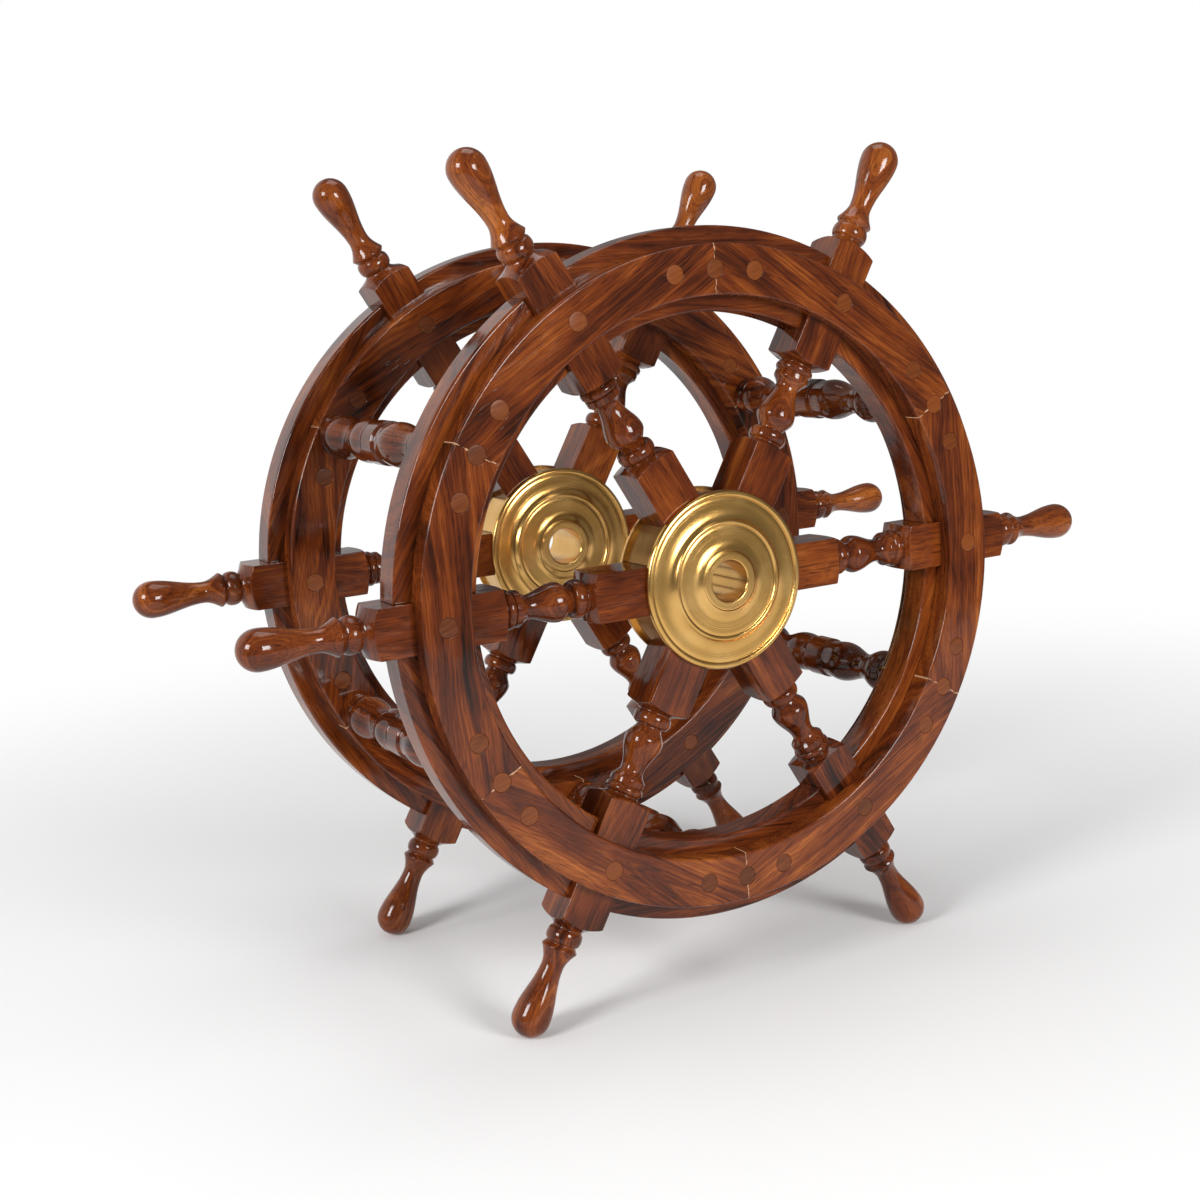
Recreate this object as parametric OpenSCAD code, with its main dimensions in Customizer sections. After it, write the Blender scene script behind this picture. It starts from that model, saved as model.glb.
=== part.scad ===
// Bottle rack made of two six-spoke ship's wheels, tied together by six turned spindles.
// The wheels stand upright with their common axis level along Y. The front wheel faces -Y.
// The origin is on the floor, midway between the wheels. All sizes are in millimetres.

/* [Layout] */
// Distance between the middle planes of the two wheels
wheel_spacing = 254; // [200:1:360]

/* [Rim] */
// Outer radius of the rim plates
plate_outer_r = 240; // [232:1:260]
// Width of the rim plates, along the radius
plate_w = 36; // [32:0.5:44]
// Thickness of one rim plate
plate_t = 17; // [14:0.5:22]
// How far the core stands out past the plates
ledge_out = 13; // [6:0.5:18]
// How far the core stands in past the plates
ledge_in = 11; // [6:0.5:16]
// Thickness of the core
core_t = 24; // [18:0.5:30]
// Rounding of the plate and core edges
edge_round = 1.8; // [0.5:0.1:3]
// Chamfer at the foot of the plates, which reads as a fine dark line
foot_chamfer = 0.8; // [0.2:0.1:1.5]

/* [Spokes] */
// Side of the square stock that a spoke is turned from
block_w = 35; // [32:0.5:40]
// How far the rim block of a spoke stands out past the core
rim_block_out = 17; // [12:0.5:24]
// How far the rim block of a spoke stands in past the core
rim_block_in = 16; // [10:0.5:20]
// How far the hub block of a spoke stands out past the hub flange
hub_block_out = 42.5; // [36:0.5:48]
// Length over which the turning runs out into the corners of a block
pommel_len = 7; // [5:0.5:9]

/* [Handles] */
// Radius of the ball at the tip of a handle
ball_r = 14.2; // [12:0.1:16]
// Radius of the thin neck of a handle
handle_neck_r = 8.2; // [6.5:0.1:10]
// Length from the widest part of the ball to the neck
handle_taper_len = 39; // [30:0.5:55]
// Length of the flare from the neck down to the collar
handle_flare_len = 13; // [9:0.5:18]
// Radius of the collar and of the bead beside it
handle_bead_r = 13.3; // [11.5:0.1:15]
// Length of the bead between the collar and the rim block
handle_bead_len = 11; // [8:0.5:14]
// Length of the thin collar beside the flare
handle_collar_len = 4; // [2.5:0.5:6]
// Length of the shoulder between the rim block and the bead
shoulder_len = 4; // [2:0.5:6]

/* [Balusters] */
// Radius of the beads at both ends of a baluster
baluster_bead_r = 14.2; // [12:0.1:16]
// Length of the bead at the rim end of a baluster
rim_bead_len = 6.5; // [5:0.5:9]
// Length of the ring beside the rim bead
rim_ring_len = 5; // [3:0.5:7]
// Length of the flare from the ring down to the neck
baluster_flare_len = 7; // [5:0.5:10]
// Radius of the thin neck of a baluster
baluster_neck_r = 8.7; // [7:0.1:10]
// Radius of the bulb of a baluster
bulb_r = 14.4; // [12:0.1:16]
// Length of the bead at the hub end of a baluster
hub_bead_len = 9.5; // [7:0.5:12]
// Depth of the grooves between beads
groove_depth = 2.4; // [1:0.1:3.5]
// Size of the fine steps and lines that set off each turned detail
quirk = 0.6; // [0.3:0.1:1]

/* [Hub] */
// Radius of the brass flanges
flange_r = 65.5; // [62:0.5:70]
// Height of the rim lip of a flange above the spoke blocks
lip_h = 4.5; // [3.5:0.1:6]
// Height of the dished ring inside the lip
dish_h = 3.4; // [2.5:0.1:4.5]
// Radius of the crest of the raised step on a flange
crest_r = 42.5; // [40:0.5:46]
// Height of that crest
crest_h = 7.5; // [6:0.1:9]
// Width of the slopes on both sides of the crest
step_w = 6.2; // [4:0.1:7.5]
// Width of the rim lip of a flange
lip_w = 7.8; // [6:0.1:9]
// Rounding of the outer edge of that lip
lip_round = 3; // [1.5:0.1:3.4]
// Radius of the collar at each end of the bush
boss_r = 22; // [21:0.5:24]
// Height of the face of the bush above the spoke blocks
boss_h = 9.5; // [8.5:0.1:12]
// Width of the cone around the collar of the bush
cone_w = 5; // [3:0.1:6.5]
// Thickness of the collar of the bush
collar_t = 2.4; // [1.5:0.1:3.5]
// Chamfer at the mouths of the bore and the edge of the collar
mouth_chamfer = 0.9; // [0.4:0.1:1.2]
// How far the hub band lies inside the edge of the flanges
band_inset = 2.5; // [1:0.5:5]
// Thickness of the hub band
band_t = 3; // [1.5:0.5:5]
// Radius of the bore through the bush
bore_r = 15; // [10:0.5:16]
// Outer radius of the bush
bush_r = 18.5; // [18:0.5:20]

/* [Spindles] */
// Radius of the bulb at each end of a spindle
spindle_bulb_r = 17; // [14:0.1:18]
// Radius of the barrel on each half of a spindle
spindle_barrel_r = 16.5; // [13:0.1:18]
// Radius of the ring in the middle of a spindle
spindle_ring_r = 16.5; // [13:0.1:18]
// Length of the ring in the middle of a spindle
spindle_ring_len = 19; // [12:0.5:26]
// Width of the notch on each side of that ring
spindle_notch_w = 4.5; // [3:0.5:7]
// Radius of the thin necks of a spindle
spindle_neck_r = 10.5; // [8:0.1:12]
// Length of the end bulb, from the neck to the foot of the spindle
spindle_bulb_len = 34; // [28:0.5:40]
// Length of the plain foot that stands on the plate
spindle_foot_len = 5.5; // [3:0.5:8]
// Radius of the tenon on each end of a spindle
tenon_r = 10; // [8:0.5:12]
// Length of the tenon on each end of a spindle
tenon_len = 30; // [22:0.5:34]

/* [Plugs and screws] */
// Radius of the round wooden plugs
plug_r = 7; // [5.5:0.1:8.5]
// Length of the plugs
plug_len = 8; // [5:0.5:9]
// Distance along the rim from a butt joint to the plug on each side of it
plug_pitch = 33.3; // [28:0.1:40]
// Gap between the tips of opposite plate screws, in the middle of the rim
screw_tip_gap = 3; // [1:0.5:6]
// Length of the long screws that hold the spindles
spindle_screw_len = 50; // [38:0.5:60]
// Radius of the screw heads
screw_head_r = 4.5; // [3.5:0.1:5.2]
// Radius of the screw shanks
screw_shank_r = 2.2; // [1.5:0.1:2.8]

/* [Fits] */
// Glue line between a spoke block and the rim, and between mitred spoke ends
glue_gap = 0.1; // [0.05:0.05:0.3]
// Width of the butt joints between plates
butt_gap = 0.15; // [0.05:0.05:0.4]
// Radial clearance of plugs, tenons, screws and the bush in their holes
hole_gap = 0.05; // [0.02:0.01:0.15]

/* [Hidden] */
spoke_count = 6;
spoke_pitch = 360 / spoke_count;
// Points along each curve of a turned outline, and along each rounded corner
curve_steps = 10;
corner_steps = 4;
// How far a cut runs past the face that it opens
past = 1;
$fn = 72;

// Rim radii and offsets from a wheel's middle plane
plate_inner_r = plate_outer_r - plate_w;
plate_mid_r = plate_outer_r - plate_w / 2;
core_outer_r = plate_outer_r + ledge_out;
core_inner_r = plate_inner_r - ledge_in;
core_face = core_t / 2;
rim_face = core_face + plate_t;
block_face = block_w / 2;

// Stations along a spoke, as radii from the wheel's axis
rim_block_top = core_outer_r + rim_block_out;
rim_block_foot = core_inner_r - rim_block_in;
hub_block_top = flange_r + hub_block_out;
ball_at = rim_block_top + shoulder_len + handle_bead_len + handle_collar_len
    + handle_flare_len + handle_taper_len;
tip_at = ball_at + ball_r;
// The turned outline at a square block lies outside the block's corners
envelope_r = block_w * 0.75;

// The wheel stands on the balls of the two handles nearest straight down
hub_z = ball_at * cos(spoke_pitch / 2) + ball_r;
front_y = -wheel_spacing / 2;
rear_y = wheel_spacing / 2;

// Angles along the rim, clockwise from straight up
plug_angle = plug_pitch / plate_mid_r * 180 / PI;
plate_angle = spoke_pitch - butt_gap / plate_mid_r * 180 / PI;
joint_angles = [for (i = [0 : spoke_count - 1]) i * spoke_pitch];
spoke_angles = [for (i = [0 : spoke_count - 1]) (i + 0.5) * spoke_pitch];
plate_screw_angles = [for (a = [-1, 0, 1]) a * (spoke_pitch / 2 - plug_angle)];

band_r = flange_r - band_inset;
spindle_half = wheel_spacing / 2 - rim_face;
// The screws' countersunk heads lie under the plugs. The long ones reach the spindles.
drill_gap = 0.3;
screw_head_len = screw_head_r - screw_shank_r;
screw_seat = rim_face - plug_len;
plate_screw_len = screw_seat - screw_tip_gap / 2;
spindle_screw_tip = wheel_spacing / 2 + screw_seat - spindle_screw_len;

// Height above the spoke blocks of the flange's recess for the collar of the bush
collar_seat = boss_h - collar_t;

spoke_names = [for (w = ["front", "rear"]) for (i = [1 : spoke_count]) str(w, "_spoke_", i)];
felloe_names = [for (w = ["front", "rear"]) for (i = [1 : spoke_count]) str(w, "_felloe_", i)];
spindle_names = [for (i = [1 : spoke_count]) str("spindle_", i)];

// ---- Outline functions: each gives the points [radius, station] that follow its start ----

// An S-shaped run from one radius to another
function ogee(r0, z0, r1, z1) = [for (i = [1 : curve_steps]) let (t = i / curve_steps)
    [r0 + (r1 - r0) * (1 - cos(180 * t)) / 2, z0 + (z1 - z0) * t]];

// A hollow run that leaves its start level with the axis and flares out to its end
function flare(r0, z0, r1, z1) = [for (i = [1 : curve_steps]) let (t = i / curve_steps)
    [r0 + (r1 - r0) * (1 - cos(90 * t)), z0 + (z1 - z0) * t]];

// A hollow run that falls steeply from its start and arrives level with the axis
function fall(r0, z0, r1, z1) = [for (i = [1 : curve_steps]) let (t = i / curve_steps)
    [r1 + (r0 - r1) * (1 - sin(90 * t)), z0 + (z1 - z0) * t]];

// A rounded bead that rises from a foot radius to its full radius and back
function bead(foot_r, full_r, z0, z1) = [for (i = [1 : curve_steps]) let (t = i / curve_steps)
    [foot_r + (full_r - foot_r) * sqrt(sin(180 * t)), z0 + (z1 - z0) * t]];

// A quarter-circle corner about a centre, counter-clockwise from the start angle
function corner(x, y, r, start) = [for (i = [0 : corner_steps])
    [x + r * cos(start + 90 * i / corner_steps), y + r * sin(start + 90 * i / corner_steps)]];

// The same outline on the other half of a piece, in reverse order
function mirrored(points) = [for (i = [len(points) - 1 : -1 : 0]) [points[i][0], -points[i][1]]];

// ---- Placing ----

// A wheel's own frame: its axis along Y, its middle plane at the given depth
module at_wheel(y) translate([0, y, hub_z]) children();

// Turns something that points straight up to a clock angle, clockwise seen from the front
module at_clock(angle) rotate([0, angle, 0]) children();

// Lays a shape made about Z along the wheel's axis, its top towards the front or the back
module facing(side) mirror([0, side > 0 ? 0 : 1, 0]) rotate([90, 0, 0]) children();

// A turned ring sector centred on straight up, from an outline in [radius, offset]
module ring_sector(outline, angle)
    rotate([0, 0, 90 - angle / 2]) rotate_extrude(angle = angle) polygon(outline);

// A round hole or pin on the rim's middle circle, from one offset to another
module rim_pin(angle, r, from, to)
    rotate([0, 0, -angle]) translate([0, plate_mid_r, from]) cylinder(r = r, h = to - from);

// What the drill takes out of a plate and the wood under it: the plug's hole, the
// countersink and the hole for the shank
module screw_hole(angle, depth) {
    rim_pin(angle, plug_r + hole_gap, screw_seat, rim_face + past);
    rim_pin(angle, screw_shank_r + hole_gap, screw_seat - depth - drill_gap, rim_face);
    rotate([0, 0, -angle]) translate([0, plate_mid_r, screw_seat - screw_head_len])
        cylinder(r1 = screw_shank_r + hole_gap, r2 = screw_head_r + hole_gap, h = screw_head_len);
}

// ---- Spokes ----

handle_outline = let (
        neck = ball_at - handle_taper_len,
        collar_top = neck - handle_flare_len,
        collar_foot = collar_top - handle_collar_len,
        bead_foot = collar_foot - handle_bead_len,
        groove_r = handle_bead_r - groove_depth
    ) concat(
        [for (i = [0 : curve_steps]) let (a = 90 - 90 * i / curve_steps)
            [ball_r * cos(a), ball_at + ball_r * sin(a)]],
        ogee(ball_r, ball_at, handle_neck_r, neck),
        flare(handle_neck_r, neck, handle_bead_r, collar_top),
        [[handle_bead_r, collar_top - quirk], [groove_r, collar_foot]],
        bead(groove_r, handle_bead_r, collar_foot, bead_foot),
        ogee(groove_r, bead_foot, envelope_r, rim_block_top - pommel_len)
    );

// A bulb is fullest a third of the way from its foot
baluster_outline = let (
        shoulder = rim_block_foot - pommel_len,
        ring_top = shoulder - rim_bead_len,
        ring_foot = ring_top - rim_ring_len,
        ring_r = baluster_bead_r - 2 * quirk,
        neck = ring_foot - baluster_flare_len,
        hub_bead_top = hub_block_top + hub_bead_len,
        bulb_at = hub_bead_top + (neck - hub_bead_top) / 3,
        groove_r = baluster_bead_r - groove_depth
    ) concat(
        [[envelope_r, rim_block_foot]],
        ogee(envelope_r, rim_block_foot, groove_r, shoulder),
        bead(groove_r, baluster_bead_r, shoulder, ring_top),
        [[ring_r, ring_top - quirk], [ring_r, ring_foot]],
        fall(ring_r, ring_foot, baluster_neck_r, neck),
        ogee(baluster_neck_r, neck, bulb_r, bulb_at),
        ogee(bulb_r, bulb_at, groove_r - groove_depth, hub_bead_top),
        [[groove_r, hub_bead_top]],
        bead(groove_r, baluster_bead_r, hub_bead_top, hub_block_top),
        ogee(groove_r, hub_block_top, envelope_r, hub_block_top - pommel_len)
    );

// Keeps a spoke within its own sixth of the hub
module mitre_wedge() {
    half = spoke_pitch / 2;
    reach = 2 * tip_at;
    lift = glue_gap / 2 / sin(half);
    rotate([90, 0, 0]) linear_extrude(height = block_w + 2 * past, center = true) polygon([
        [0, lift],
        [reach * sin(half), lift + reach * cos(half)],
        [-reach * sin(half), lift + reach * cos(half)]
    ]);
}

// The turned outline cuts the square stock only where it lies inside the stock's corners
module spoke_blank() intersection() {
    rotate_extrude() polygon(concat(
        handle_outline,
        baluster_outline,
        [[envelope_r, 0], [0, 0]]
    ));
    translate([-block_face, -block_face, 0]) cube([block_w, block_w, tip_at + past]);
    mitre_wedge();
}

module spoke(angle) color("sienna") at_clock(angle) difference() {
    spoke_blank();
    facing(1) cylinder(r = bush_r + hole_gap, h = block_w + 2 * past, center = true);
    for (side = [1, -1]) facing(side) screw_hole(0, plate_screw_len);
}

// ---- Rim ----

core_outline = concat(
    corner(core_outer_r - edge_round, core_face - edge_round, edge_round, 0),
    corner(core_inner_r + edge_round, core_face - edge_round, edge_round, 90),
    corner(core_inner_r + edge_round, edge_round - core_face, edge_round, 180),
    corner(core_outer_r - edge_round, edge_round - core_face, edge_round, 270)
);

plate_outline = concat(
    corner(plate_outer_r - edge_round, rim_face - edge_round, edge_round, 0),
    corner(plate_inner_r + edge_round, rim_face - edge_round, edge_round, 90),
    [[plate_inner_r, core_face + foot_chamfer],
     [plate_inner_r + foot_chamfer, core_face],
     [plate_outer_r - foot_chamfer, core_face],
     [plate_outer_r, core_face + foot_chamfer]]
);

// The room that a spoke's square block takes up in the rim and the hub
module block_room() translate([-block_face - glue_gap, -block_face - glue_gap, 0])
    cube([block_w + 2 * glue_gap, block_w + 2 * glue_gap, core_outer_r + past]);

// A felloe ends at the spokes on both sides of it. The spindle's tenon enters it from one
// side of the wheel, and the long screw from the other.
module felloe(angle, spindle_side) color("saddlebrown") at_clock(angle) difference() {
    facing(1) ring_sector(core_outline, spoke_pitch);
    for (side = [-1, 1]) at_clock(side * spoke_pitch / 2) block_room();
    facing(spindle_side)
        rim_pin(0, tenon_r + hole_gap, rim_face - tenon_len - drill_gap, rim_face);
    facing(-spindle_side) screw_hole(0, spindle_screw_len);
    for (side = [1, -1]) for (a = [-plug_angle, plug_angle])
        facing(side) screw_hole(a, plate_screw_len);
}

module plate_segment(side, has_tenon) difference() {
    facing(side) ring_sector(plate_outline, plate_angle);
    block_room();
    for (a = plate_screw_angles) facing(side) screw_hole(a, plate_screw_len);
    for (a = [-spoke_pitch / 2, spoke_pitch / 2]) facing(side) {
        if (has_tenon) rim_pin(a, tenon_r + hole_gap, 0, rim_face + past);
        else screw_hole(a, spindle_screw_len);
    }
}

module plate_ring(side, has_tenon) color("sienna")
    for (a = spoke_angles) at_clock(a) plate_segment(side, has_tenon);

// ---- Plugs and screws ----

module plug_ring(side, at_joints) color("peru") for (a = spoke_angles) {
    for (b = plate_screw_angles) facing(side) rim_pin(a + b, plug_r, screw_seat, rim_face);
    if (at_joints) facing(side)
        rim_pin(a + spoke_pitch / 2, plug_r, screw_seat, rim_face);
}

// A countersunk screw with its head's face at the origin and its point down
module wood_screw(length) {
    tip_len = 3 * screw_shank_r;
    rotate_extrude() polygon([
        [0, 0], [screw_head_r, 0], [screw_shank_r, -screw_head_len],
        [screw_shank_r, tip_len - length], [0, -length]
    ]);
}

module screw_at(side, angle, length) facing(side) rotate([0, 0, -angle])
    translate([0, plate_mid_r, screw_seat]) wood_screw(length);

module plate_screws(side) color("silver")
    for (a = spoke_angles) for (b = plate_screw_angles) screw_at(side, a + b, plate_screw_len);

module spindle_screws(side) color("silver")
    for (a = joint_angles) screw_at(side, a, spindle_screw_len);

// ---- Spindles ----

spindle_outline = let (
        ring_end = spindle_ring_len / 2,
        notch = ring_end + spindle_notch_w / 2,
        barrel_from = ring_end + spindle_notch_w,
        barrel_edge_r = spindle_barrel_r - 2 * quirk,
        neck = spindle_half - spindle_bulb_len - spindle_foot_len,
        barrel_at = barrel_from + (neck - barrel_from) / 3,
        foot = spindle_half - spindle_foot_len,
        foot_r = spindle_bulb_r - 2 * quirk,
        bulb_at = foot - spindle_bulb_len / 3
    ) concat(
        [[spindle_ring_r, ring_end - quirk], [spindle_ring_r - quirk, ring_end]],
        ogee(spindle_ring_r - quirk, ring_end, spindle_ring_r - groove_depth, notch),
        ogee(spindle_ring_r - groove_depth, notch, barrel_edge_r, barrel_from),
        ogee(barrel_edge_r, barrel_from, spindle_barrel_r, barrel_at),
        ogee(spindle_barrel_r, barrel_at, spindle_neck_r, neck),
        ogee(spindle_neck_r, neck, spindle_bulb_r, bulb_at),
        ogee(spindle_bulb_r, bulb_at, foot_r - 2 * quirk, foot),
        [[foot_r, foot + quirk], [foot_r, spindle_half - quirk],
         [foot_r - quirk, spindle_half], [tenon_r, spindle_half],
         [tenon_r, spindle_half + tenon_len]]
    );

module spindle(angle) color("sienna") translate([0, 0, hub_z]) difference() {
    facing(1) rotate([0, 0, -angle]) translate([0, plate_mid_r, 0])
        rotate_extrude() polygon(concat(
            [[0, -spindle_half - tenon_len]],
            mirrored(spindle_outline),
            spindle_outline,
            [[0, spindle_half + tenon_len]]
        ));
    for (side = [1, -1]) facing(side) rim_pin(angle, screw_shank_r + hole_gap,
        spindle_screw_tip - drill_gap, spindle_half + tenon_len + past);
}

// ---- Hubs ----

// From the bush out along the back, round the lip, and in over the dish, the raised step,
// the flat field and the cone up to the collar of the bush
flange_outline = let (
        lip_foot = flange_r - lip_w,
        step_from = crest_r + step_w,
        step_to = crest_r - step_w,
        field_h = crest_h - 2 * quirk
    ) concat(
        [[bush_r + hole_gap, 0], [flange_r, 0]],
        corner(flange_r - lip_round, lip_h - lip_round, lip_round, 0),
        [[lip_foot + 2 * quirk, dish_h - quirk], [lip_foot + quirk, dish_h - quirk],
         [lip_foot, dish_h], [step_from + quirk, dish_h + quirk], [step_from, dish_h]],
        ogee(step_from, dish_h, crest_r, crest_h),
        [[crest_r - quirk, crest_h - quirk], [step_to, field_h - quirk],
         [step_to - quirk, field_h], [boss_r + cone_w, field_h],
         [boss_r + hole_gap, boss_h - quirk], [boss_r + hole_gap, collar_seat],
         [bush_r + hole_gap, collar_seat]]
    );

module flange(side) color("goldenrod") facing(side) translate([0, 0, block_face])
    rotate_extrude() polygon(flange_outline);

// Half of the bush, from its middle plane to its mouth
bush_outline = let (mouth = block_face + boss_h, seat = block_face + collar_seat) [
    [bush_r, seat], [boss_r, seat], [boss_r, mouth - mouth_chamfer],
    [boss_r - mouth_chamfer, mouth], [bore_r + mouth_chamfer, mouth],
    [bore_r, mouth - mouth_chamfer]
];

module hub_bush() color("goldenrod") facing(1)
    rotate_extrude() polygon(concat(mirrored(bush_outline), bush_outline));

band_outline = [
    [band_r - band_t, -block_face], [band_r, -block_face],
    [band_r, block_face], [band_r - band_t, block_face]
];

module hub_band() color("goldenrod") for (a = joint_angles) at_clock(a) difference() {
    facing(1) ring_sector(band_outline, spoke_pitch);
    for (side = [-1, 1]) at_clock(side * spoke_pitch / 2) block_room();
}

// ---- The rack ----

for (i = [0 : spoke_count - 1]) {
    at_wheel(front_y) spoke(spoke_angles[i]);
    at_wheel(rear_y) spoke(spoke_angles[i]);
    at_wheel(front_y) felloe(joint_angles[i], -1);
    at_wheel(rear_y) felloe(joint_angles[i], 1);
    spindle(joint_angles[i]);
}

at_wheel(front_y) plate_ring(1, false);  // front_wheel_front_plates
at_wheel(front_y) plate_ring(-1, true);  // front_wheel_back_plates
at_wheel(rear_y) plate_ring(1, true);  // rear_wheel_front_plates
at_wheel(rear_y) plate_ring(-1, false);  // rear_wheel_back_plates

at_wheel(front_y) plug_ring(1, true);  // front_wheel_front_plugs
at_wheel(front_y) plug_ring(-1, false);  // front_wheel_back_plugs
at_wheel(rear_y) plug_ring(1, false);  // rear_wheel_front_plugs
at_wheel(rear_y) plug_ring(-1, true);  // rear_wheel_back_plugs

at_wheel(front_y) plate_screws(1);  // front_wheel_front_screws
at_wheel(front_y) plate_screws(-1);  // front_wheel_back_screws
at_wheel(rear_y) plate_screws(1);  // rear_wheel_front_screws
at_wheel(rear_y) plate_screws(-1);  // rear_wheel_back_screws
at_wheel(front_y) spindle_screws(1);  // front_spindle_screws
at_wheel(rear_y) spindle_screws(-1);  // rear_spindle_screws

at_wheel(front_y) flange(1);  // front_wheel_front_flange
at_wheel(front_y) flange(-1);  // front_wheel_back_flange
at_wheel(rear_y) flange(1);  // rear_wheel_front_flange
at_wheel(rear_y) flange(-1);  // rear_wheel_back_flange
at_wheel(front_y) hub_band();  // front_hub_band
at_wheel(rear_y) hub_band();  // rear_hub_band
at_wheel(front_y) hub_bush();  // front_hub_bush
at_wheel(rear_y) hub_bush();  // rear_hub_bush
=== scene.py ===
# A bottle rack in the form of a pair of ship's wheels: varnished rosewood, brass hubs.
import math
import random
import bmesh
import bpy
from mathutils import Euler, Matrix, Vector


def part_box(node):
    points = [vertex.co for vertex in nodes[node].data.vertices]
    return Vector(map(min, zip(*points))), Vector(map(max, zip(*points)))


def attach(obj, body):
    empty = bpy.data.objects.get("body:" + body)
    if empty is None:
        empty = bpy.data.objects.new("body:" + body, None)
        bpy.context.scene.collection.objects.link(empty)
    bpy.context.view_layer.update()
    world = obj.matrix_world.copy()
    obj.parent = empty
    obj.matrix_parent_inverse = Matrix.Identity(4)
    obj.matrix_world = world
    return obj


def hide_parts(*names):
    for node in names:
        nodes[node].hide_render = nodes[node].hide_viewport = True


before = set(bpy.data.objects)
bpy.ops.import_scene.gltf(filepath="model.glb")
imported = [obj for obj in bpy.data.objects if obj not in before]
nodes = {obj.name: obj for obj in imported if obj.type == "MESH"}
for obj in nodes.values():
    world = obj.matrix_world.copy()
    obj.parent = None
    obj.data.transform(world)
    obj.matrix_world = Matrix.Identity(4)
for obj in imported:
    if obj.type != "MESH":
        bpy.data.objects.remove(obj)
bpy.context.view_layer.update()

# Camera. A standard lens about a metre and a half away, to the left of the rack and a
# little above its axis, tipped slightly to one side. The bushes give the middle of each
# wheel.
bush_low, bush_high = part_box("front_hub_bush")
front_hub = (bush_low + bush_high) / 2
bush_low, bush_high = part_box("rear_hub_bush")
rear_hub = (bush_low + bush_high) / 2
hubs = {"front": front_hub, "rear": rear_hub}
rack_middle = (front_hub + rear_hub) / 2
camera_azimuth = math.radians(-30.86)
camera_height = math.radians(9.51)
camera_roll = math.radians(-3.34)
camera_place = rack_middle + Vector((-0.6623, -1.1856, 0.2157))

back = Vector((math.sin(camera_azimuth) * math.cos(camera_height),
               -math.cos(camera_azimuth) * math.cos(camera_height),
               math.sin(camera_height)))
level_right = (-back).cross(Vector((0, 0, 1))).normalized()
level_up = level_right.cross(-back)
right = level_right * math.cos(camera_roll) + level_up * math.sin(camera_roll)
up = level_up * math.cos(camera_roll) - level_right * math.sin(camera_roll)
camera = bpy.data.objects.new("camera", bpy.data.cameras.new("camera"))
camera.matrix_world = Matrix((
    (right.x, up.x, back.x, camera_place.x),
    (right.y, up.y, back.y, camera_place.y),
    (right.z, up.z, back.z, camera_place.z),
    (0, 0, 0, 1)))
camera.data.sensor_width = 36
camera.data.lens = 51.8
camera.data.shift_x = -0.0625
camera.data.shift_y = -0.025
bpy.context.collection.objects.link(camera)
bpy.context.scene.camera = camera
bpy.context.scene.view_settings.view_transform = "Standard"


# Spokes. Each is one piece of rosewood, turned from square stock: a handle that ends in a
# ball, a square block let into the rim, a slim baluster, and a square block that is
# mitred against its neighbours in the hub. The arrises of the blocks are eased by hand.
def outward(clock):
    """The direction from the hub towards an angle, in degrees clockwise from straight up."""
    return Vector((math.sin(math.radians(clock)), 0, math.cos(math.radians(clock))))


def around(clock):
    """The direction along the rim at that angle."""
    return Vector((math.cos(math.radians(clock)), 0, -math.sin(math.radians(clock))))


class Wire:
    """An output of a node, which can be written into sums."""

    def __init__(self, recipe, socket):
        self.recipe = recipe
        self.socket = socket

    def worked(self, operation, *values):
        """A sum of one Math node, on wires and numbers."""
        inputs = dict(enumerate(values))
        return self.recipe.add("ShaderNodeMath", {"operation": operation}, inputs)

    def __add__(self, other):
        return self.worked("ADD", self, other)

    def __radd__(self, other):
        return self.worked("ADD", other, self)

    def __sub__(self, other):
        return self.worked("SUBTRACT", self, other)

    def __rsub__(self, other):
        return self.worked("SUBTRACT", other, self)

    def __mul__(self, other):
        return self.worked("MULTIPLY", self, other)

    def __rmul__(self, other):
        return self.worked("MULTIPLY", other, self)

    def root(self):
        return self.worked("SQRT", self)

    def between(self, low, high):
        """0 below low, 1 above high, and a smooth rise from one to the other."""
        settings = {"interpolation_type": "SMOOTHSTEP"}
        return self.recipe.add("ShaderNodeMapRange", settings, {0: self, 1: low, 2: high})


class Recipe:
    """A tree of nodes under construction."""

    def __init__(self, tree):
        self.tree = tree

    def add(self, kind, settings=None, inputs=None, output=0):
        """Any node: its settings first, then the values or wires of its inputs."""
        node = self.tree.nodes.new(kind)
        for name, value in (settings or {}).items():
            if name == "stops":
                self.set_stops(node.color_ramp, value)
            else:
                setattr(node, name, value)
        for key, value in (inputs or {}).items():
            self.feed(node, key, value)
        return Wire(self, node.outputs[output])

    def set_stops(self, ramp, stops):
        """Gives a colour ramp its stops, each a place and a colour."""
        while len(ramp.elements) < len(stops):
            ramp.elements.new(0.5)
        for element, (place, colour) in zip(ramp.elements, stops):
            element.position = place
            element.color = (*colour, 1)

    def feed(self, node, key, value):
        """Gives an input of a node its value, or links a wire to it."""
        if isinstance(value, Wire):
            self.tree.links.new(value.socket, node.inputs[key])
        else:
            node.inputs[key].default_value = value

    def noise(self, vector, detail=2.0, roughness=0.5):
        inputs = {"Vector": vector, "Scale": 1.0, "Detail": detail, "Roughness": roughness}
        return self.add("ShaderNodeTexNoise", {}, inputs)

    def vector(self, x, y, z):
        """A place in a pattern; a bigger factor on a coordinate gives finer detail along it."""
        return self.add("ShaderNodeCombineXYZ", {}, {0: x, 1: y, 2: z})

    def blend(self, factor, colour_a, colour_b):
        inputs = {0: factor, 6: colour_a, 7: colour_b}
        return self.add("ShaderNodeMix", {"data_type": "RGBA"}, inputs, output=2)


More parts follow.
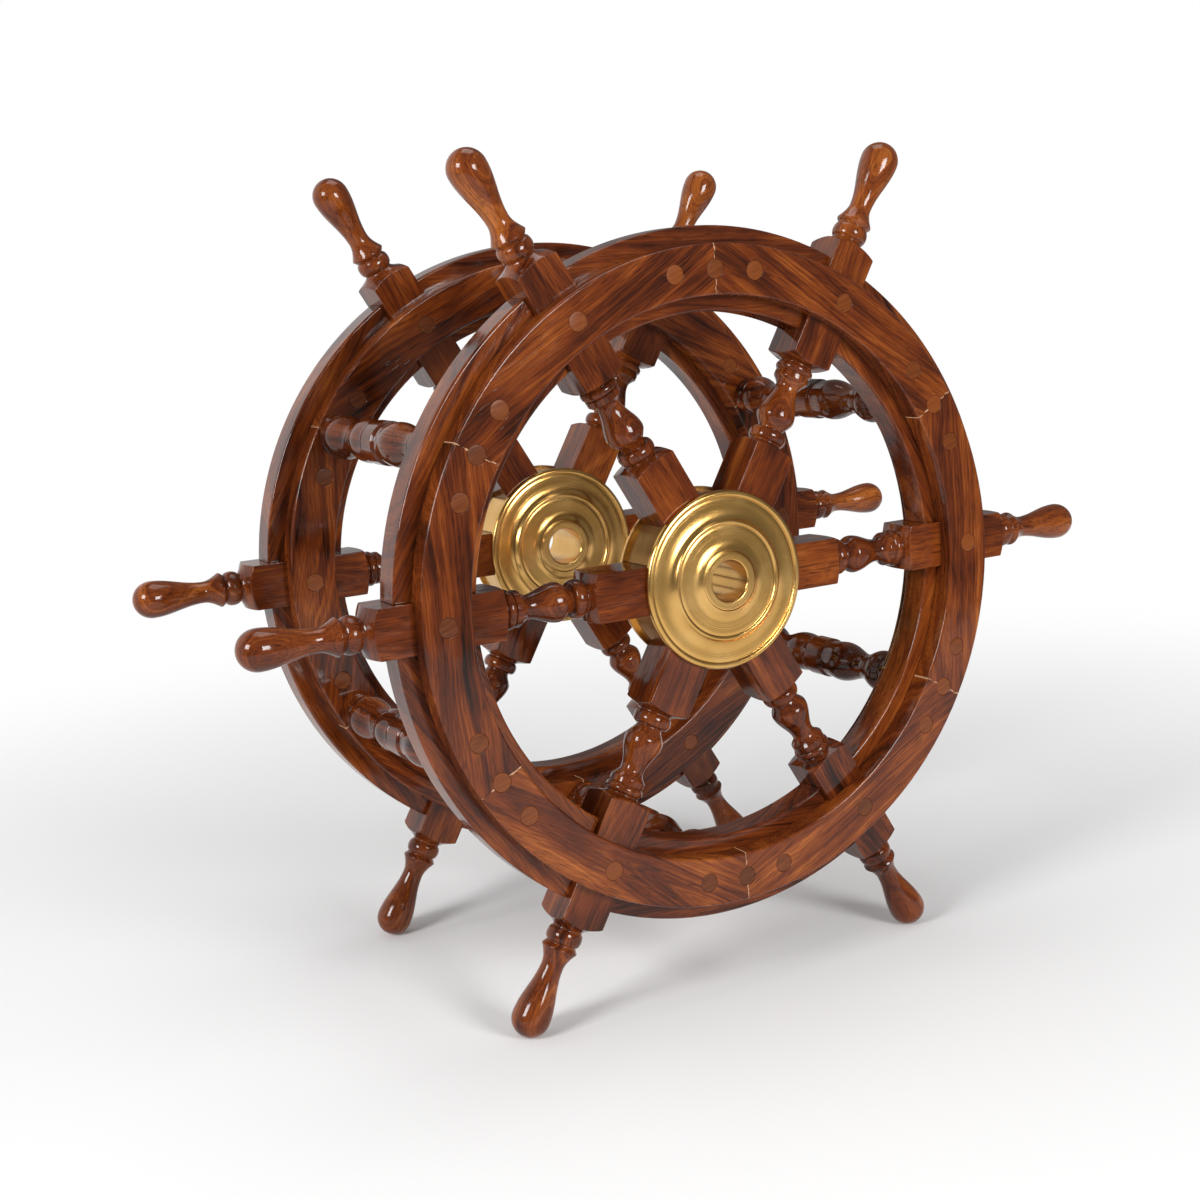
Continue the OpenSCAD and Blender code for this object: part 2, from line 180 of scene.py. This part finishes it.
class Finish(Recipe):
    """A material under construction."""

    def __init__(self, name):
        self.material = bpy.data.materials.new(name)
        self.material.use_nodes = True
        super().__init__(self.material.node_tree)
        self.shader = self.tree.nodes["Principled BSDF"]

    def surface(self, **inputs):
        """Sets inputs of the shader; an underscore stands for a space in a name."""
        for key, value in inputs.items():
            self.feed(self.shader, key.replace("_", " "), value)

    def along(self, grain, across, centre):
        """Object coordinates turned so that X runs along the grain, from a centre."""
        turn = Matrix((grain, across, grain.cross(across)))
        place = self.add("ShaderNodeTexCoord", output="Object")
        turned = self.add("ShaderNodeMapping", {"vector_type": "POINT"}, {
            "Vector": place, "Rotation": turn.to_euler(), "Location": -(turn @ centre)})
        parts = self.add("ShaderNodeSeparateXYZ", {}, {0: turned})
        return [Wire(self, socket) for socket in parts.socket.node.outputs]


# Colours of the wood from the darkest growth lines to the palest wood between them
rosewood_stops = (
    (0.355, (0.0120, 0.0038, 0.0018)),
    (0.420, (0.0470, 0.0100, 0.0032)),
    (0.495, (0.1080, 0.0215, 0.0046)),
    (0.575, (0.1900, 0.0440, 0.0076)),
    (0.670, (0.3400, 0.0980, 0.0160)))
pore_colour = (0.012, 0.0040, 0.0020, 1)
# The pale colour of the painted highlight along the plate joints
joint_highlight_colour = (0.70, 0.42, 0.24, 1)
varnish_gloss = 0.32


def growth_ring(finish, u, v, w, offset, pith, lean):
    """Distance from the pith line, which is bent and rippled as in a real trunk."""
    drift = finish.noise(finish.vector(u * 4 + offset, v * 14, w * 14), detail=1)
    sway = finish.noise(finish.vector(u * 14, v * 40 + offset, w * 40), detail=2)
    side = v - u * lean[0] - pith[0]
    depth = w - u * lean[1] - pith[1]
    return (side * side + depth * depth).root() + (drift - 0.5) * 0.035 + (sway - 0.5) * 0.008


def painted_joint_highlight(finish, u, v, offset, radius):
    """A broken pale line at both ends of a rim segment, a painted highlight along the joint,
    whose ends lie 30 degrees either way round a rim of that radius."""
    end = math.radians(30)
    gap = (v + radius) * math.sin(end) - u.worked("ABSOLUTE", u) * math.cos(end)
    beads = finish.noise(finish.vector(v * 330, offset, 0), detail=1)
    return (1 - gap.between(0.0003, 0.0008)) * beads.between(0.44, 0.56)


def rosewood(name, grain, across, centre, seed, pith, lean=(0.0, 0.0), dark=0.5, warm=0.0,
             joint_radius=None):
    """Varnished rosewood. The growth bands run round a pith line that passes the centre at
    the given distance across and in depth, and leans away from the grain. Dark moves the
    whole piece towards its darkest lines, and warm makes the handles paler."""
    finish = Finish(name)
    u, v, w = finish.along(grain, across, centre)
    offset = seed * 3.7
    ring = growth_ring(finish, u, v, w, offset, pith, lean)
    bands = finish.noise(finish.vector(u * 2 + offset, ring * 85, offset), detail=2,
                         roughness=0.6)
    lines = finish.noise(finish.vector(u * 8, ring * 520 + offset, v * 8), detail=2,
                         roughness=0.65)
    fibres = finish.noise(finish.vector(u * 30 + offset, v * 700, w * 700), detail=2,
                          roughness=0.6)
    clouds = finish.noise(finish.vector(u * 18, v * 36 + offset, w * 36), detail=3)
    pores = finish.noise(finish.vector(u * 80, v * 1500, w * 1500 + offset), detail=0)
    figure = (bands * 0.42 + lines * 0.27 + clouds * 0.31 + (fibres - 0.5) * 0.14
              + u.between(0.265, 0.31) * warm - (dark - 0.5) * 0.16)
    body = finish.add("ShaderNodeValToRGB", {"stops": rosewood_stops}, {0: figure})
    body = finish.blend(pores.between(0.62, 0.70) * 0.55, body, pore_colour)
    # A broken pale line painted along the joints of the plates: a painted highlight
    if joint_radius:
        joint_highlight = painted_joint_highlight(finish, u, v, offset, joint_radius)
        body = finish.blend(joint_highlight * 0.85, body, joint_highlight_colour)
    ripple = finish.noise(finish.vector(u * 45, v * 90, w * 90), detail=1)
    relief = ripple + fibres * 0.06 - pores.between(0.62, 0.74) * 0.03
    bump = finish.add("ShaderNodeBump", {}, {
        "Strength": 0.4, "Distance": 0.0006, "Height": relief})
    finish.surface(Base_Color=body, Roughness=clouds * 0.10 + 0.05, Normal=bump,
                   Specular_IOR_Level=varnish_gloss)
    return finish.material


fold = math.radians(32)


def merged_copy(node, name):
    """A merged copy of a CAD node, shaded smooth between its folds."""
    mesh = nodes[node].data.copy()
    mesh.name = name
    shape = bmesh.new()
    shape.from_mesh(mesh)
    bmesh.ops.remove_doubles(shape, verts=shape.verts, dist=2e-6)
    bmesh.ops.dissolve_degenerate(shape, edges=shape.edges, dist=2e-6)
    bmesh.ops.dissolve_limit(shape, angle_limit=math.radians(0.2), verts=shape.verts,
                             edges=shape.edges)
    for face in shape.faces:
        face.smooth = True
    for edge in shape.edges:
        edge.smooth = len(edge.link_faces) == 2 and edge.calc_face_angle() < fold
    shape.to_mesh(mesh)
    shape.free()
    if mesh.attributes.get("custom_normal"):
        mesh.attributes.remove(mesh.attributes["custom_normal"])
    mesh.materials.clear()
    piece = bpy.data.objects.new(name, mesh)
    bpy.context.collection.objects.link(piece)
    return piece


def ease_arrises(piece, arris):
    """Eases the arrises of a piece, and keeps its broad faces flat in the light."""
    if arris:
        bevel = piece.modifiers.new("arris", "BEVEL")
        bevel.width = arris
        bevel.segments = 3
        bevel.limit_method = "ANGLE"
        bevel.angle_limit = math.radians(40)
    flat = piece.modifiers.new("flat", "WEIGHTED_NORMAL")
    flat.keep_sharp = not arris
    flat.mode = "FACE_AREA"
    settled = piece.evaluated_get(bpy.context.evaluated_depsgraph_get())
    piece.data = bpy.data.meshes.new_from_object(settled)
    piece.modifiers.clear()
    return piece


def place_piece(piece, material, slot, *stands_for):
    """Gives a piece its finish, hangs it under the root body, and hides the CAD nodes it stands
    for.
    """
    piece.data.materials.clear()
    piece.data.materials.append(material)
    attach(piece, "root")
    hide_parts(*stands_for)


spoke_arris = 0.0014
for wheel, hub in hubs.items():
    for number in range(1, 7):
        clock = 60 * number - 30
        node = f"{wheel}_spoke_{number}"
        chance = random.Random(node)
        wood = rosewood(f"{node}_rosewood", outward(clock), around(clock), hub,
                        seed=chance.uniform(0, 9),
                        pith=(chance.uniform(-0.03, 0.03), chance.uniform(0.02, 0.05)),
                        lean=(chance.uniform(-0.08, 0.08), chance.uniform(-0.05, 0.05)),
                        dark=chance.uniform(0.40, 0.55), warm=0.045)
        place_piece(ease_arrises(merged_copy(node, f"{node}_turned"), spoke_arris),
                    wood, "turned_wood", node)


# Felloes. The middle layer of each rim: curved blocks of rosewood cut in between the
# spokes, wider than the plates on both sides, with rounded edges. The grain of each runs
# along its chord.
rim_middle = 0.222
grain_middle = 0.22
felloe_arris = 0.0008
for wheel, hub in hubs.items():
    for number in range(1, 7):
        clock = 60 * number - 60
        node = f"{wheel}_felloe_{number}"
        chance = random.Random(node)
        wood = rosewood(f"{node}_rosewood", around(clock), outward(clock),
                        hub + outward(clock) * grain_middle, seed=chance.uniform(0, 9),
                        pith=(chance.uniform(-0.12, -0.03), chance.uniform(-0.03, 0.03)),
                        lean=(chance.uniform(-0.1, 0.1), 0),
                        dark=chance.uniform(0.40, 0.60))
        place_piece(ease_arrises(merged_copy(node, f"{node}_curved"), felloe_arris), wood,
                    "felloe_wood", node)


# Rim plates. Six segments of figured rosewood in each ring, butt jointed midway between
# the spokes, glued and screwed to the felloes. The grain of each runs along its chord.
def sixth_of(reach):
    """Which sixth of the circle, clockwise from straight up, a reach from the hub is in."""
    clock = math.degrees(math.atan2(reach.x, reach.z))
    return int((clock % 360) // 60)


def split_by_sixths(piece, hub):
    """The six segments of a ring of plates as pieces of their own."""
    parts = {}
    shape = bmesh.new()
    shape.from_mesh(piece.data)
    for sixth in range(6):
        kept = shape.copy()
        wrong = [face for face in kept.faces
                 if sixth_of(face.calc_center_median() - hub) != sixth]
        bmesh.ops.delete(kept, geom=wrong, context="FACES")
        mesh = bpy.data.meshes.new(f"{piece.name}_{sixth + 1}")
        kept.to_mesh(mesh)
        kept.free()
        parts[sixth] = bpy.data.objects.new(mesh.name, mesh)
        bpy.context.collection.objects.link(parts[sixth])
    shape.free()
    bpy.data.objects.remove(piece)
    return parts


plate_arris = 0.0004
for wheel, hub in hubs.items():
    for face in ("front", "back"):
        node = f"{wheel}_wheel_{face}_plates"
        ring = merged_copy(node, f"{wheel}_{face}_plate")
        for sixth, plate in split_by_sixths(ring, hub).items():
            clock = 60 * sixth + 30
            chance = random.Random(plate.name)
            wood = rosewood(f"{plate.name}_rosewood", around(clock), outward(clock),
                            hub + outward(clock) * grain_middle, seed=chance.uniform(0, 9),
                            pith=(chance.uniform(-0.05, 0.05), chance.uniform(0.03, 0.06)),
                            lean=(chance.uniform(-0.16, 0.16), chance.uniform(-0.1, 0.1)),
                            dark=chance.uniform(0.35, 0.60), joint_radius=grain_middle)
            place_piece(ease_arrises(plate, plate_arris), wood, "plate_wood", node)


# Spindles. Six spacers between the wheels, turned from rosewood, with a tenon on each end
# that passes through the inner plates at their joints and into the felloes.
for number in range(1, 7):
    clock = 60 * number - 60
    node = f"spindle_{number}"
    low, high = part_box(node)
    chance = random.Random(node)
    wood = rosewood(f"{node}_rosewood", Vector((0, 1, 0)), Vector((1, 0, 0)),
                    (low + high) / 2, seed=chance.uniform(0, 9),
                    pith=(chance.uniform(-0.03, 0.03), chance.uniform(0.02, 0.05)),
                    dark=chance.uniform(0.55, 0.75))
    place_piece(ease_arrises(merged_copy(node, f"{node}_turned"), 0), wood, "turned_wood", node)


# Plugs. Round rosewood plugs glued over the screws, crowned a little where they were
# sanded, with a fine ring where they meet the plate. The outer plates have one at each
# joint as well, over the screw into a spindle.
plug_radius = 0.0069
plug_crown = 0.00012
plug_sides = 36
shown_depth = 0.0030
plug_chamfer = 0.00022
pair_angle = 8.6
below_top = 0.000005


def plug_ring_tree(angles):
    """Plugs at the given angles past each spoke, on the face of one ring of plates."""
    tree = bpy.data.node_groups.new("plug_ring", "GeometryNodeTree")
    tree.interface.new_socket("Plugs", in_out="OUTPUT", socket_type="NodeSocketGeometry")
    for name, kind in (("Ring Radius", "Float"), ("Plug Radius", "Float"), ("Crown", "Float"),
                       ("Centre", "Vector"), ("Turn", "Rotation"), ("Seed", "Int"),
                       ("Wood", "Material")):
        tree.interface.new_socket(name, in_out="INPUT", socket_type="NodeSocket" + kind)
    ring = Recipe(tree)
    given = tree.nodes.new("NodeGroupInput")
    size = {socket.name: Wire(ring, socket) for socket in given.outputs if socket.name}
    disc = ring.add("GeometryNodeMeshCircle", {"fill_type": "NGON"}, {
        "Vertices": plug_sides, "Radius": size["Plug Radius"]})
    top = True
    crown = size["Crown"]
    for lift, shrink in ((shown_depth, 1.0), (plug_chamfer, 0.955), (crown * 0.50, 0.80),
                         (crown * 0.32, 0.6), (crown * 0.18, 0.4)):
        raised = ring.add("GeometryNodeExtrudeMesh", {"mode": "FACES"}, {
            "Mesh": disc, "Selection": top, "Offset Scale": lift})
        top = Wire(ring, raised.socket.node.outputs["Top"])
        disc = ring.add("GeometryNodeScaleElements", {}, {
            "Geometry": raised, "Selection": top, "Scale": shrink})
    spots = ring.tree.nodes.new("GeometryNodeJoinGeometry")
    for angle in angles:
        row = ring.add("GeometryNodeMeshCircle", {}, {
            "Vertices": 6, "Radius": size["Ring Radius"]})
        row = ring.add("GeometryNodeTransform", {}, {
            "Geometry": row, "Rotation": Euler((0, 0, math.radians(angle)))})
        tree.links.new(row.socket, spots.inputs[0])
    spin = ring.add("FunctionNodeRandomValue", {"data_type": "FLOAT_VECTOR"}, {
        "Min": (0, 0, 0), "Max": (0, 0, 6.28), "Seed": size["Seed"]})
    plugs = ring.add("GeometryNodeInstanceOnPoints", {}, {
        "Points": Wire(ring, spots.outputs[0]), "Instance": disc, "Rotation": spin})
    shade = ring.add("FunctionNodeRandomValue", {}, {"Seed": size["Seed"]}, output=1)
    plugs = ring.add("GeometryNodeStoreNamedAttribute", {"domain": "INSTANCE"}, {
        "Geometry": plugs, "Name": "shade", "Value": shade})
    plugs = ring.add("GeometryNodeRealizeInstances", {}, {"Geometry": plugs})
    plugs = ring.add("GeometryNodeTransform", {}, {
        "Geometry": plugs, "Translation": size["Centre"], "Rotation": size["Turn"]})
    plugs = ring.add("GeometryNodeSetMaterial", {}, {
        "Geometry": plugs, "Material": size["Wood"]})
    ring.feed(tree.nodes.new("NodeGroupOutput"), 0, plugs)
    return tree


def grown(name, tree, **sizes):
    """A plain mesh piece that a tree of Geometry Nodes makes from the given sizes."""
    seedling = bpy.data.objects.new(name, bpy.data.meshes.new(name))
    bpy.context.collection.objects.link(seedling)
    modifier = seedling.modifiers.new("made", "NODES")
    modifier.node_group = tree
    for socket in tree.interface.items_tree:
        key = socket.name.replace(" ", "_").lower()
        if socket.in_out == "INPUT" and key in sizes:
            modifier[socket.identifier] = sizes[key]
    settled = seedling.evaluated_get(bpy.context.evaluated_depsgraph_get())
    seedling.data = bpy.data.meshes.new_from_object(settled)
    seedling.modifiers.clear()
    return seedling


plug_wood = Finish("plug_rosewood")
px, py, pz = plug_wood.along(Vector((0.94, 0, 0.34)), Vector((0, 1, 0)), rack_middle)
shade = plug_wood.add("ShaderNodeAttribute", {"attribute_name": "shade"}, output="Fac")
grain = plug_wood.noise(plug_wood.vector(px * 60 + shade * 9, py * 500, pz * 500), detail=3)
tint = (grain * 0.5 + shade * 0.35).between(0.05, 0.75)
plug_colour = plug_wood.blend(tint, (0.050, 0.012, 0.0035, 1), (0.21, 0.053, 0.0085, 1))
plug_wood.surface(Base_Color=plug_colour, Roughness=grain * 0.1 + 0.16,
                  Specular_IOR_Level=varnish_gloss)
beside_joint = (30 - pair_angle, 30 + pair_angle)
joint_plugs = plug_ring_tree((0, beside_joint[0], 30, beside_joint[1]))
plain_plugs = plug_ring_tree((0, *beside_joint))
for wheel, hub in hubs.items():
    for face, side in (("front", -1), ("back", 1)):
        node = f"{wheel}_wheel_{face}_plugs"
        outer = (wheel, face) in (("front", "front"), ("rear", "back"))
        low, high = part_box(node)
        top = low.y if side < 0 else high.y
        foot = top - side * (shown_depth + plug_chamfer + plug_crown + below_top)
        plugs = grown(f"{wheel}_{face}_plugs", joint_plugs if outer else plain_plugs,
                      ring_radius=rim_middle, plug_radius=plug_radius,
                      crown=plug_crown, centre=(hub.x, foot, hub.z),
                      turn=Euler((math.radians(-90 * side), 0, 0)), seed=len(node) + side,
                      wood=plug_wood.material)
        place_piece(ease_arrises(plugs, 0), plug_wood.material, "plug_wood", node)


# Hub brass. Flanges turned from plate, strips between them in the gaps of the spokes, and
# a bush through the middle, all polished, with the fine rings that the lathe leaves.
def turned_brass(name, hub):
    """Polished brass, with turning marks that run round the axis of a wheel."""
    finish = Finish(name)
    depth, across, rise = finish.along(Vector((0, 1, 0)), Vector((1, 0, 0)), hub)
    radius = (across * across + rise * rise).root()
    rings = finish.noise(finish.vector(radius * 1600, 0, 0), detail=3)
    wide_rings = finish.noise(finish.vector(radius * 260, 3, 0), detail=2)
    clouds = finish.noise(finish.vector(across * 30, rise * 30, depth * 30), detail=3)
    colour = finish.blend(clouds.between(0.35, 0.7), (0.62, 0.355, 0.105, 1),
                          (0.74, 0.45, 0.155, 1))
    bump = finish.add("ShaderNodeBump", {}, {
        "Strength": 0.7, "Distance": 0.0002, "Height": rings * 0.8 + wide_rings})
    finish.surface(Base_Color=colour, Metallic=1.0, Roughness=clouds * 0.14 + 0.15,
                   Normal=bump)
    return finish.material


# Half of a section through a flange, as radius and height above the spokes: a rounded lip,
# a dished ring, a narrow raised step, a flat field and a cone up to the collar of the bush.
flange_section = (
    (18.55, 0), (65.5, 0), (65.5, 1.9), (65.3, 2.9), (64.8, 3.7), (64.0, 4.25), (63.0, 4.5),
    (62.0, 4.45), (61.3, 4.15), (60.9, 3.6), (60.7, 3.05), (60.3, 2.9), (59.9, 3.15), (58, 3.3),
    (55, 3.25), (52, 3.3), (49, 3.6), (46.5, 4.4), (45.0, 5.4), (44.1, 6.4), (43.6, 7.1),
    (43.0, 7.45), (42.2, 7.5), (41.5, 7.3), (41.1, 6.8), (40.9, 6.3), (40.5, 6.15), (40.1, 6.35),
    (38, 6.45), (34, 6.45), (30, 6.5), (27.5, 6.75), (25.5, 7.4), (23.8, 8.4), (22.6, 9.15),
    (22.05, 9.3), (22.05, 7.1), (18.55, 7.1))


block_face = 17.5
brass_arris = 0.0003
turns = 144
brass_fold = math.radians(58)


def lathe(name, section, hub, side, foot):
    """A ring turned about the axis of a wheel, from half of its section in millimetres."""
    points = []
    faces = []
    rows = len(section)
    for step in range(turns):
        angle = 2 * math.pi * step / turns
        for radius, height in section:
            reach = Vector((math.sin(angle), 0, math.cos(angle))) * radius / 1000
            points.append(hub + reach + Vector((0, side * (foot + height) / 1000, 0)))
            here = len(points) - 1
            after = here + 1 if (here + 1) % rows else here + 1 - rows
            total = rows * turns
            faces.append((here, after, (after + rows) % total, (here + rows) % total))
    mesh = bpy.data.meshes.new(name)
    mesh.from_pydata(points, [], faces)
    shape = bmesh.new()
    shape.from_mesh(mesh)
    bmesh.ops.recalc_face_normals(shape, faces=shape.faces)
    for face in shape.faces:
        face.smooth = True
    for edge in shape.edges:
        edge.smooth = edge.calc_face_angle() < brass_fold
    shape.to_mesh(mesh)
    shape.free()
    ring = bpy.data.objects.new(name, mesh)
    bpy.context.collection.objects.link(ring)
    return ring


for wheel, hub in hubs.items():
    brass = turned_brass(f"{wheel}_hub_brass", hub)
    for face, side in (("front", -1), ("back", 1)):
        node = f"{wheel}_wheel_{face}_flange"
        ring = lathe(f"{wheel}_{face}_flange", flange_section, hub, side, block_face)
        place_piece(ring, brass, "polished_brass", node)
    for part in ("band", "bush"):
        node = f"{wheel}_hub_{part}"
        place_piece(ease_arrises(merged_copy(node, f"{wheel}_{part}"), brass_arris), brass,
                    "polished_brass", node)


# Wood screws. Plain steel screws that hold the plates to the felloes and the spokes, and
# longer ones that run into the ends of the spindles. The plugs hide them all.
steel = Finish("screw_steel")
sx, sy, sz = steel.along(Vector((1, 0, 0)), Vector((0, 1, 0)), rack_middle)
scuffs = steel.noise(steel.vector(sx * 400, sy * 60, sz * 400), detail=3)
steel.surface(Base_Color=(0.42, 0.42, 0.43, 1), Metallic=1.0, Roughness=scuffs * 0.3 + 0.25)
for node in nodes:
    if node.endswith("screws"):
        nodes[node].material_slots[0].material = steel.material


# Studio. A round pale floor that runs out to white, a white wall behind the rack and to
# its left, a soft box on the left, one in front, and a weaker one above.
floor_mesh = bpy.data.meshes.new("floor")
floor_radius = 1.5
floor_edge = [outward(angle) * floor_radius for angle in range(0, 360, 5)]
floor_mesh.from_pydata([(point.x, -point.z, 0) for point in floor_edge], [],
                       [range(len(floor_edge))])
floor = bpy.data.objects.new("floor", floor_mesh)
bpy.context.collection.objects.link(floor)
floor_finish = Finish("floor_white")
fx, fy = floor_finish.along(Vector((1, 0, 0)), Vector((0, 1, 0)), Vector((0, 0, 0)))[:2]
far = (fx * fx + fy * fy).root().between(0.0, 1.45)
floor_finish.surface(Base_Color=(0.88, 0.88, 0.88, 1), Roughness=0.6,
                     Specular_IOR_Level=0.1)
glow = floor_finish.add("ShaderNodeEmission", {}, {"Color": (1, 1, 1, 1), "Strength": 1.0})
seen = floor_finish.add("ShaderNodeLightPath", output="Is Camera Ray")
mirrored = floor_finish.add("ShaderNodeLightPath", output="Is Glossy Ray")
floor_mix = floor_finish.add("ShaderNodeMixShader", {}, {
    0: far * seen.worked("MAXIMUM", seen, mirrored),
    1: Wire(floor_finish, floor_finish.shader.outputs[0]), 2: glow})
floor_finish.feed(floor_finish.tree.nodes["Material Output"], "Surface", floor_mix)
floor_mesh.materials.append(floor_finish.material)


world = bpy.data.worlds.new("studio")
world.use_nodes = True
studio = Recipe(world.node_tree)
direction = studio.add("ShaderNodeTexCoord", output="Generated")
facing = studio.add("ShaderNodeVectorMath", {"operation": "DOT_PRODUCT"}, {
    0: direction, 1: Vector((-0.57, 0.80, 0.0)).normalized()}, output="Value")
wall = facing.between(0.45, 0.80)
seen = studio.add("ShaderNodeLightPath", output="Is Camera Ray")
through = studio.add("ShaderNodeLightPath", output="Is Transmission Ray")
mirrored = studio.add("ShaderNodeLightPath", output="Is Glossy Ray")
room = studio.add("ShaderNodeBackground", {}, {
    "Color": (1, 1, 1, 1), "Strength": wall * 0.50 + 0.22})
paper = studio.add("ShaderNodeBackground", {}, {"Color": (1, 1, 1, 1), "Strength": 1.0})
shown = seen.worked("MAXIMUM", seen.worked("MAXIMUM", seen, through), mirrored * wall)
sky = studio.add("ShaderNodeMixShader", {}, {0: shown, 1: room, 2: paper})
studio.feed(studio.tree.nodes["World Output"], "Surface", sky)
bpy.context.scene.world = world


def soft_lamp(name, towards, distance, width, height, level):
    """A soft box that faces the middle of the rack; level is its light on a facing wall."""
    light = bpy.data.lights.new(name, "AREA")
    light.shape = "RECTANGLE"
    light.size = width
    light.size_y = height
    light.energy = level * 4 * math.pi * distance ** 2
    lamp = bpy.data.objects.new(name, light)
    lamp.location = rack_middle + Vector(towards).normalized() * distance
    lamp.rotation_euler = Vector(towards).to_track_quat("Z", "Y").to_euler()
    bpy.context.collection.objects.link(lamp)


soft_lamp("left_lamp", (-0.88, -0.28, 0.38), 2.6, 0.8, 0.8, 0.55)
soft_lamp("right_lamp", (0.15, -0.965, 0.25), 2.6, 0.8, 0.8, 0.60)
soft_lamp("top_lamp", (0.1, 0.1, 1.0), 2.4, 1.4, 1.4, 0.22)
